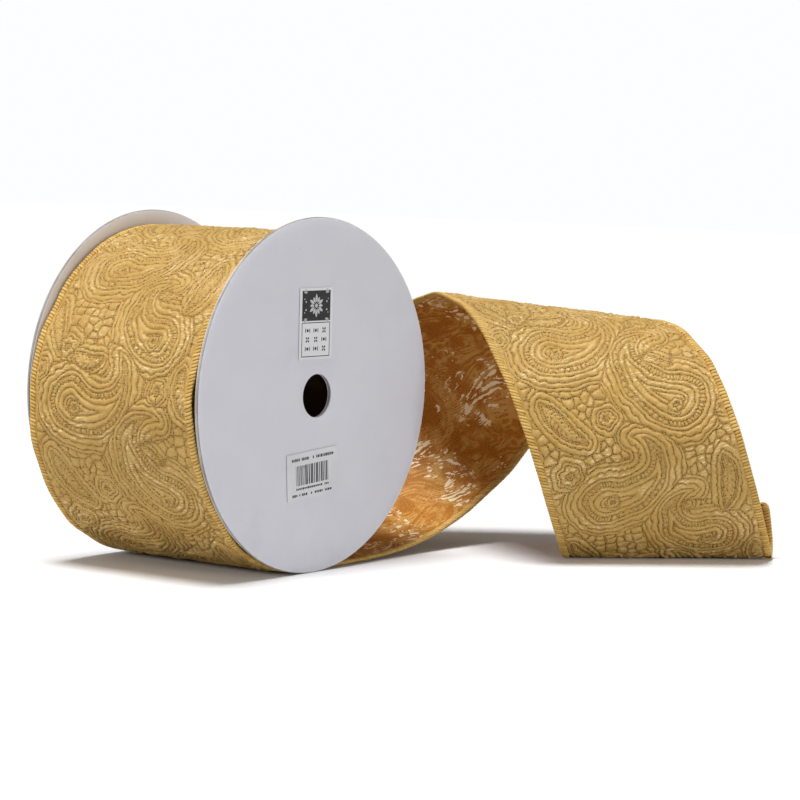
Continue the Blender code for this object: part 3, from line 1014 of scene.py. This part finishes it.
STEEL_WIRE = make_wire_finish()
wire_lines = strip_lines(WIRE_STEP)
theta = np.arange(WIRE_POINTS) * 2 * pi / WIRE_POINTS
for end, side in (("front", 1), ("rear", -1)):
    count = len(wire_lines[0])
    offset = side * WIRE_OFFSET + WIRE_RADIUS * np.cos(theta)[None, :]
    offset = np.broadcast_to(offset, (count, WIRE_POINTS))
    points = strip_point(wire_lines, offset, WIRE_RADIUS * np.sin(theta)[None, :]).reshape(-1, 3)
    faces = quads(count, WIRE_POINTS, wrap=True)[:, ::-1]
    tip = np.arange(WIRE_POINTS)
    ends = np.stack([tip, (count - 1) * WIRE_POINTS + tip[::-1]])
    wire = add_mesh(f"{end}_wire", points, [faces, ends], [STEEL_WIRE])
    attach(wire, "ribbon")
    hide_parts(f"{end}_edge_wire")
    print(wire.name, len(wire.data.polygons), "faces")

# %% [markdown]
# Everything on the spool is turned about one axis: the discs, the wound ribbon and the thread at
# its sides. One helper makes them all from an outline, given as a radius and a depth for each
# point; either may change with the angle, which gives the quilting of the roll and a slight bow
# in the card.

# %% Turned pieces
DISC_TURNS = 288


def make_turned(name, radius, depth, materials, around=None, across=None, values=None):
    """A ring about the spool's axis: rows are angles from the top towards -X, columns an outline."""
    rows, columns = radius.shape
    angle = (np.arange(rows) * 2 * pi / rows)[:, None]
    points = HUB + np.stack([-radius * np.sin(angle), depth, radius * np.cos(angle)], -1)
    uv = None
    if around is not None:
        u = np.broadcast_to(np.arange(rows + 1)[:, None] * around / rows, (rows + 1, columns + 1))
        v = np.broadcast_to(np.append(across, across[0])[None, :], u.shape)
        grid = np.stack([u, v], -1)
        uv = np.stack([grid[:-1, :-1], grid[:-1, 1:], grid[1:, 1:], grid[1:, :-1]], 2).reshape(-1, 2)
    faces = quads(rows, columns, wrap=True, loop=True)
    return add_mesh(name, points.reshape(-1, 3), [faces], materials, uv=uv, values=values)


def rounded_outline(inner, outer, low, high, corner, steps):
    """Outline of a flat ring with rounded corners, as (radius, depth) points."""
    bend = 0.3 * corner
    radii = np.linspace(inner + corner, outer - corner, steps)
    start = [(inner, low + corner), (inner + bend, low + bend)]
    edge = [(outer - bend, low + bend), (outer, low + corner),
            (outer, high - corner), (outer - bend, high - bend)]
    finish = [(inner + bend, high - bend), (inner, high - corner)]
    return start + [(r, low) for r in radii] + edge + [(r, high) for r in radii[::-1]] + finish


# %% [markdown]
# Each flange is a grey card disc with white paper glued to both faces. The card shows only as the
# rim and round the finger hole. Card is never quite flat, so all three layers share one faint bow
# towards the rim; near the labels it is flat, so that they stay on the surface.

# %% Places on the spool as angle and radius
def make_spool_place():
    """Angle in turns, distance from the spool's axis and depth along it, for pieces on the spool."""
    group, given, result = start_group(
        "place on the spool", [("Coordinates", "Vector", None)],
        [("Turns", "Float"), ("Radius", "Float"), ("Depth", "Float")])
    centre = tuple(float(number) for number in HUB)
    moved = add_node(group, "VectorMath", {0: given["Coordinates"], 1: centre}, operation="SUBTRACT")
    split = add_node(group, "SeparateXYZ", {0: moved.outputs[0]})
    angle = calculate(group, "ARCTAN2", split.outputs[0], split.outputs[2])
    squares = [calculate(group, "MULTIPLY", split.outputs[k], split.outputs[k]) for k in (0, 2)]
    group.links.new(calculate(group, "DIVIDE", angle, 2 * pi), result["Turns"])
    group.links.new(calculate(group, "SQRT", calculate(group, "ADD", *squares)), result["Radius"])
    group.links.new(split.outputs[1], result["Depth"])
    return group


SPOOL_PLACE = make_spool_place()


# %% White paper
def make_white_paper(name, white, grey, dirt, clouds):
    material, tree, shader = start_material(name, Specular_IOR_Level=0.35, Sheen_Weight=0.05)
    place = place_in_space(tree)
    grain = use_group(tree, PAPER_GRAIN, {"Coordinates": place, "Fibre size": 1.2, "Cloudiness": clouds})
    marks = use_group(tree, HANDLING, {"Coordinates": place, "Amount": dirt})
    spot = use_group(tree, SPOOL_PLACE, {"Coordinates": place})
    clouded = mix_colours(tree, grain["Clouds"], white, grey)
    marked = mix_colours(tree, marks["Mask"], clouded, paint(128, 124, 122))
    # Paler in ragged patches within 2.2 mm of the rim.
    near_rim = remap(tree, spot["Radius"], FLANGE_RADIUS - 0.0022, FLANGE_RADIUS)
    ragged = remap(tree, noise(tree, place, 240.0, 3.0), 0.42, 0.62)
    paler_rim_patches = calculate(tree, "MULTIPLY", near_rim, calculate(tree, "MULTIPLY", ragged, 0.45))
    colour = mix_colours(tree, paler_rim_patches, marked, paint(236, 236, 238))
    rough = calculate(tree, "MULTIPLY_ADD", grain["Clouds"], 0.15, 0.48)
    dress(tree, shader, colour, rough, bump(tree, grain["Height"], 0.30, 0.00005))
    return material


FACING_PAPER = make_white_paper("facing_paper", paint(218, 219, 227), paint(210, 211, 220), 0.3, 0.3)
# The lining is the same white paper as the facing, painted paler to make up for the shade on the
# flanges' inner faces: painted light.
LINING_PAPER_PAINTED_LIGHT = make_white_paper("lining_paper_painted_light", paint(242, 241, 246), paint(230, 228, 233), 0.4, 0.5)


# %% Grey board
PLY_THICKNESS = 0.00032


def make_grey_board():
    material, tree, shader = start_material("grey_board", Specular_IOR_Level=0.2)
    place = place_in_space(tree)
    grain = use_group(tree, PAPER_GRAIN, {"Coordinates": place, "Fibre size": 1.8, "Cloudiness": 0.8})
    spot = use_group(tree, SPOOL_PLACE, {"Coordinates": place})
    wavy = calculate(tree, "MULTIPLY_ADD", noise(tree, place, 300.0, 2.0), 0.0003, spot["Depth"])
    ply = calculate(tree, "SINE", calculate(tree, "MULTIPLY", wavy, 2 * pi / PLY_THICKNESS))
    layered = mix_colours(tree, remap(tree, ply, -0.6, 0.9), paint(172, 168, 162), paint(206, 203, 198))
    colour = mix_colours(tree, grain["Clouds"], layered, paint(150, 145, 138))
    height = calculate(tree, "MULTIPLY_ADD", ply, 0.6, grain["Height"])
    dress(tree, shader, colour, 0.85, bump(tree, height, 0.6, 0.00012))
    return material


GREY_BOARD = make_grey_board()

# %% The two flanges
HOLE_RADIUS = 0.0103
BOW_START = 0.060
BOW_SIZE = 0.00030
FACE_STEPS = 16


def make_layer(node, material, corner, flip):
    """One layer of a flange, rebuilt finer in the place of its node."""
    low, high = (np.array(corner_place) - HUB for corner_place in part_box(node))
    outer = float(high[2] - low[2]) / 2
    outline = np.array(rounded_outline(HOLE_RADIUS, outer, low[1], high[1], corner, FACE_STEPS))
    angle = (np.arange(DISC_TURNS) * 2 * pi / DISC_TURNS)[:, None]
    radius = np.broadcast_to(outline[None, :, 0], (DISC_TURNS, len(outline)))
    towards_rim = np.clip((radius - BOW_START) / (FLANGE_RADIUS - BOW_START), 0, 1) ** 2
    waves = np.sin(2 * angle + 0.7 + flip) + 0.5 * np.sin(3 * angle + 2.1 * flip)
    bow = BOW_SIZE * towards_rim * waves
    piece = make_turned(f"{node}_layer", radius, outline[None, :, 1] + bow, [material])
    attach(piece, "spool")
    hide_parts(node)
    return piece


for flip, side in enumerate(("front", "rear")):
    layers = [make_layer(f"{side}_flange_board", GREY_BOARD, 0.00018, flip),
              make_layer(f"{side}_flange_facing", FACING_PAPER, 0.00006, flip),
              make_layer(f"{side}_flange_lining", LINING_PAPER_PAINTED_LIGHT, 0.00006, flip)]
    print(side, "flange layers:", [piece.name for piece in layers])

# %% [markdown]
# Inside are about twenty more turns of the same ribbon. Only the outside of the roll can be seen,
# under the loose turn, and at each side the stacked edges of all the turns. The cloth of the roll
# has the same quilting; its repeats fit the roll's girth exactly, so the pattern closes.

# %% Wound cloth
ROLL_LOW, ROLL_HIGH = (np.array(corner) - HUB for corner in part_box("ribbon_roll"))
ROLL_RADIUS = float(ROLL_HIGH[2] - ROLL_LOW[2]) / 2
ROLL_HOLE = 0.0390
ROLL_TURNS = 760
ROLL_COLUMNS = 161
ROLL_REPEATS = 3

depths = np.linspace(ROLL_LOW[1], ROLL_HIGH[1], ROLL_COLUMNS)
width_places = depths - SPOOL_WIDTH / 2
around = ROLL_REPEATS * REPEAT / 1000
along_roll = (np.arange(ROLL_TURNS) * around / ROLL_TURNS)[:, None]
along_roll = np.broadcast_to(along_roll, (ROLL_TURNS, ROLL_COLUMNS))
across_roll = np.broadcast_to(width_places[None, :], along_roll.shape)
roll_values = {}
bare = np.zeros((ROLL_TURNS, 1))
for key, pattern in (("puff", PUFF), ("seam", SEAM), ("figure", FIGURE)):
    seen = read_pattern(pattern, along_roll, across_roll) * hem(across_roll)
    roll_values[key] = np.concatenate([bare, seen, bare], axis=1)
roll_radius = ROLL_RADIUS - PUFF_HEIGHT * (1 - roll_values["puff"])
roll_radius[:, 0] = roll_radius[:, -1] = ROLL_HOLE
roll_depth = np.concatenate([depths[:1], depths, depths[-1:]])
roll_across = np.concatenate([width_places[:1], width_places, width_places[-1:]])
roll_depth = np.broadcast_to(roll_depth[None, :], roll_radius.shape)
roll_cloth = make_turned(
    "wound_cloth", roll_radius, roll_depth, [GOLD_FACE], around, roll_across, roll_values)
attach(roll_cloth, "spool")
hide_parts("ribbon_roll")
print("wound cloth:", len(roll_cloth.data.polygons), "faces")

# %% Stacked edges of the wound turns
TURN_THICKNESS = 0.00149
RIDGE = 0.00045
POINTS_PER_TURN = 6
LOOPS_ROUND = 210


def make_wound_thread():
    material, tree, shader = start_material(
        "wound_thread", Sheen_Weight=0.2, Sheen_Tint=paint(255, 220, 140))
    place = place_in_space(tree)
    spot = use_group(tree, SPOOL_PLACE, {"Coordinates": place})
    loops = calculate(tree, "MULTIPLY", spot["Turns"], 2 * pi * LOOPS_ROUND)
    loop = calculate(tree, "ABSOLUTE", calculate(tree, "SINE", loops))
    strand = use_group(tree, SPUN_THREAD, {"Along": spot["Radius"], "Across": spot["Depth"]})
    groove, = read_values(tree, "groove")
    # Painted shade: the gaps between the loops and the grooves between the turns are painted dark brown.
    gap = calculate(tree, "MAXIMUM", remap(tree, loop, 0.35, 0.05), remap(tree, groove, 0.55, 1.0))
    tone = mix_colours(tree, strand["Tint"], paint(226, 180, 86), paint(194, 146, 58))
    colour = mix_colours(tree, gap, tone, paint(84, 56, 20))
    height = calculate(tree, "MULTIPLY_ADD", loop, 1.5, strand["Height"])
    dress(tree, shader, colour, 0.55, bump(tree, height, 0.7, 0.0002))
    return material


WOUND_THREAD = make_wound_thread()
turn_count = int((ROLL_RADIUS - ROLL_HOLE) / TURN_THICKNESS)
for end in ("front", "rear"):
    low, high = (np.array(corner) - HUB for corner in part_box(f"roll_{end}_edging"))
    radii = np.linspace(ROLL_HOLE, ROLL_RADIUS, turn_count * POINTS_PER_TURN + 1)
    ridge = np.abs(np.sin(pi * (radii - ROLL_HOLE) / (ROLL_RADIUS - ROLL_HOLE) * turn_count)) ** 0.5
    face = low[1] + RIDGE * (1 - ridge) if end == "front" else high[1] - RIDGE * (1 - ridge)
    plain = high[1] if end == "front" else low[1]
    outline = list(zip(radii, face)) + [(ROLL_RADIUS, plain), (ROLL_HOLE, plain)]
    grooves = np.append(1 - ridge, (0.0, 0.0))
    if end == "rear":
        outline, grooves = outline[::-1], grooves[::-1]
    outline = np.array(outline)
    shape = (DISC_TURNS, len(outline))
    radius, depth = (np.broadcast_to(outline[None, :, k], shape) for k in (0, 1))
    piece = make_turned(f"wound_{end}_edges", radius, depth, [WOUND_THREAD],
                        values={"groove": np.broadcast_to(grooves[None, :], shape)})
    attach(piece, "spool")
    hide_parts(f"roll_{end}_edging")
print("turns of ribbon in the roll:", turn_count)

# %% [markdown]
# The core is a tube wound on a slant from brown card strips, glued to the flanges with a bead of
# glue at each end, and the ribbon's first turn is held with a strip of tape. Their shapes are right
# in the frame, so they only need their finishes: the slanting seam of the strips, the yellowed glue
# and the glossy tape.


# %% Core, glue and tape
STRIP_PITCH = 0.062


def make_core_board():
    material, tree, shader = start_material("brown_core_board", Specular_IOR_Level=0.2)
    place = place_in_space(tree)
    grain = use_group(tree, PAPER_GRAIN, {"Coordinates": place, "Fibre size": 2.2, "Cloudiness": 1.0})
    spot = use_group(tree, SPOOL_PLACE, {"Coordinates": place})
    screw = calculate(tree, "MULTIPLY_ADD", spot["Depth"], 1 / STRIP_PITCH, spot["Turns"])
    step = calculate(tree, "FRACT", screw)
    seam = remap(tree, step, 0.030, 0.005)
    brown = mix_colours(tree, grain["Clouds"], paint(132, 96, 62), paint(108, 76, 48))
    colour = mix_colours(tree, seam, brown, paint(62, 42, 26))
    height = calculate(tree, "MULTIPLY_ADD", seam, -2.0, grain["Height"])
    dress(tree, shader, colour, 0.9, bump(tree, height, 0.6, 0.00015))
    return material


def make_glue():
    material, tree, shader = start_material("dried_glue", Coat_Weight=0.3, Coat_Roughness=0.25)
    place = place_in_space(tree)
    cloud = remap(tree, noise(tree, place, 220.0, 4.0), 0.3, 0.7)
    colour = mix_colours(tree, cloud, paint(224, 210, 170), paint(196, 172, 118))
    rough = calculate(tree, "MULTIPLY_ADD", cloud, 0.2, 0.3)
    dress(tree, shader, colour, rough, bump(tree, noise(tree, place, 500.0, 3.0), 0.5, 0.0003))
    return material


def make_tape_finish():
    material, tree, shader = start_material("start_tape_film", Coat_Weight=0.6, Coat_Roughness=0.12)
    place = place_in_space(tree)
    crease_bump_and_shade = remap(tree, noise(tree, place, 130.0, 4.0, 0.7), 0.45, 0.65)
    # Painted shade: the film is painted darker where creased, and the same mask is its bump.
    colour = mix_colours(tree, crease_bump_and_shade, paint(222, 212, 184), paint(204, 190, 154))
    rough = calculate(tree, "MULTIPLY_ADD", crease_bump_and_shade, 0.2, 0.2)
    dress(tree, shader, colour, rough, bump(tree, crease_bump_and_shade, 0.4, 0.0001))
    return material


def finish_node(node, material):
    """Give a part of the frame its finish, in the slots it already has."""
    mesh = frame["nodes"][node].data
    if not mesh.materials:
        mesh.materials.append(material)
    for k in range(len(mesh.materials)):
        frame["nodes"][node].material_slots[k].link = "OBJECT"
        frame["nodes"][node].material_slots[k].material = material


glue = make_glue()
for node, material in (("core_tube", make_core_board()), ("front_glue_bead", glue),
                       ("rear_glue_bead", glue), ("start_tape", make_tape_finish())):
    finish_node(node, material)
    print("finished", node, "as", material.name)

# %% [markdown]
# Two paper labels are stuck on the front flange. The print on them is plain ornament: a rosette on
# a black block over a framed box with rows of small shapes, and on the lower one a block of bars
# between rows of dashes. The ink is thin geometry, so its edges stay crisp at any distance.

# %% Label paper and ink
LABEL_PAPER = make_white_paper("label_paper", paint(232, 233, 236), paint(222, 223, 227), 0.4, 0.5)
STOCK_PAPER = make_white_paper("stock_label_paper", paint(222, 223, 226), paint(210, 211, 215), 0.6, 0.6)


def make_ink(name, solid, faded):
    material, tree, shader = start_material(name, Specular_IOR_Level=0.4)
    place = place_in_space(tree)
    grain = use_group(tree, PAPER_GRAIN, {"Coordinates": place, "Cloudiness": 1.0})
    patchy = remap(tree, noise(tree, place, 1300.0, 3.0, 0.7), 0.35, 0.75)
    rough = calculate(tree, "MULTIPLY_ADD", patchy, 0.2, 0.45)
    colour = mix_colours(tree, patchy, solid, faded)
    dress(tree, shader, colour, rough, bump(tree, grain["Height"], 0.3, 0.00004))
    return material


BLACK_INK = make_ink("black_ink", paint(30, 30, 33), paint(62, 62, 66))
WHITE_INK = make_ink("white_ink", paint(206, 207, 210), paint(180, 181, 185))
finish_node("trade_label", LABEL_PAPER)
finish_node("barcode_label", STOCK_PAPER)

INK_THICKNESS = 0.00003
INK_SUNK = 0.00001


def make_print(name, shapes, centre, tilt, layer, material):
    """Flat printed shapes, each an outline of (x, z) points in millimetres about the label's centre."""
    points, faces = [], {}
    front = -LABEL_THICKNESS - INK_THICKNESS * (layer + 1)
    back = -LABEL_THICKNESS + INK_SUNK
    for outline in shapes:
        count, first = len(outline), len(points)
        for depth in (front, back):
            for x, z in outline:
                right = centre[0] + (x * cos(tilt) - z * sin(tilt)) / 1000
                above = centre[1] + (x * sin(tilt) + z * cos(tilt)) / 1000
                points.append(HUB + np.array((right, depth, above)))
        face = list(range(first, first + count))
        faces.setdefault(count, []).extend([face, [i + count for i in face[::-1]]])
        for k in range(count):
            after = (k + 1) % count
            side = [first + k, first + k + count, first + after + count, first + after]
            faces.setdefault(4, []).append(side)
    piece = add_mesh(name, np.array(points), [np.array(group) for group in faces.values()], [material])
    piece.data.shade_flat()
    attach(piece, "spool")
    return piece


def bar(x, z, width, height):
    return [(x - width / 2, z - height / 2), (x + width / 2, z - height / 2),
            (x + width / 2, z + height / 2), (x - width / 2, z + height / 2)]


def disc(x, z, radius, corners=24):
    return [(x + radius * cos(2 * pi * k / corners), z + radius * sin(2 * pi * k / corners))
            for k in range(corners)]


def petal(x, z, angle, near, far, width):
    """A pointed leaf from near to far along an angle from a centre."""
    steps = 9
    rise = [(near + (far - near) * k / steps, width / 2 * sin(pi * k / steps)) for k in range(steps + 1)]
    outline = [(r, -w) for r, w in rise] + [(r, w) for r, w in rise[-2:0:-1]]
    return [(x + r * cos(angle) - w * sin(angle), z + r * sin(angle) + w * cos(angle))
            for r, w in outline]


# %% Print of the upper label
def middle_of(node):
    low, high = (np.array(corner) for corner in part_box(node))
    middle = (low + high) / 2 - HUB
    return float(middle[0]), float(middle[2])


LABEL_THICKNESS = float(HUB[1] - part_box("trade_label")[0][1])
UPPER = middle_of("trade_label")
LOWER = middle_of("barcode_label")
block_z, block_width, block_height = 8.4, 20.6, 14.2
frame_low, frame_high, frame_line = -15.4, 0.4, 0.38
frame_middle, frame_height = (frame_low + frame_high) / 2, frame_high - frame_low
black = [bar(0, block_z, block_width, block_height)]
black += [bar(0, z, block_width, frame_line) for z in (frame_low, frame_high)]
black += [bar(x, frame_middle, frame_line, frame_height - frame_line) for x in (-10.1, 10.1)]
for row, z in enumerate((-3.2, -7.5, -11.8)):
    for column in (-6.0, 0.0, 6.0):
        if (row + int(column > 0)) % 2:
            black += [petal(column, z, pi / 4 + k * pi / 2, 0.25, 1.75, 0.9) for k in range(4)]
        else:
            black += [disc(column, z, 0.75, 16)] + [bar(column + s, z, 0.5, 1.9) for s in (-1.5, 1.5)]
pale = [petal(0, block_z, k * pi / 6, 1.5, 5.6 if k % 2 else 4.6, 1.5) for k in range(12)]
pale += [disc(0, block_z, 1.0)]
for sx in (-1, 1):
    for sz in (-1, 1):
        inwards = pi if sx > 0 else 0
        pale += [petal(sx * 9.4, block_z + sz * 6.2, radians(spread * sz * sx) + inwards, 0.3, 3.0, 0.8)
                 for spread in (0, -40, -20)]
        pale += [disc(sx * out, block_z + sz * high, size, 12)
                 for out, high, size in ((7.6, 1.9, 0.45), (8.6, 3.2, 0.3))]
make_print("upper_label_black", black, UPPER, 0.0, 0, BLACK_INK)
make_print("upper_label_pale", pale, UPPER, 0.0, 1, WHITE_INK)
print("upper label at", UPPER, "with", len(black) + len(pale), "printed shapes")

# %% Print of the lower label
STOCK_TILT = radians(4)
draw = np.random.default_rng(21)
bars, x = [], -12.0
while x < 11.6:
    width, gap = draw.choice((0.25, 0.5, 0.75)), draw.choice((0.25, 0.5, 0.75))
    bars.append(bar(x + width / 2, 0.3, width, 9.4))
    x += width + gap
for z, reach, height in ((7.9, 16.0, 1.5), (-6.0, 12.0, 1.1), (-8.9, 15.0, 1.2)):
    x = -reach
    while x < reach - 1:
        width = draw.uniform(0.5, 1.3)
        if draw.uniform() > 0.16:
            bars.append(bar(x + width / 2, z, width, height * draw.uniform(0.75, 1.0)))
        x += width + 0.35
make_print("lower_label_bars", bars, LOWER, STOCK_TILT, 0, BLACK_INK)
print("lower label with", len(bars), "printed shapes")

# %% [markdown]
# The table is a plain pale sheet. A very faint mottle keeps it from looking like empty space, and
# it's large enough that its far edge melts into the bright surroundings. The light that bounces
# off it comes from a darker paint, so that the undersides of the cloth keep their shade.


# %% Table
TABLE_REACH = 6.0


def make_table():
    material, tree, shader = start_material("pale_table", Specular_IOR_Level=0.1)
    place = place_in_space(tree)
    mottle = noise(tree, place, 30.0, 4.0)
    pale = mix_colours(tree, mottle, paint(238, 238, 240), paint(243, 243, 245))
    seen = add_node(tree, "LightPath").outputs["Is Camera Ray"]
    dress(tree, shader, mix_colours(tree, seen, paint(204, 204, 205), pale), 0.9)
    corners = TABLE_REACH * np.array([(-1, -1, 0), (1, -1, 0), (1, 1, 0), (-1, 1, 0)], float)
    table = add_mesh("table", corners, [np.array([[0, 1, 2, 3]])], [material])
    table.data.shade_flat()
    return table


print("table:", make_table().dimensions)
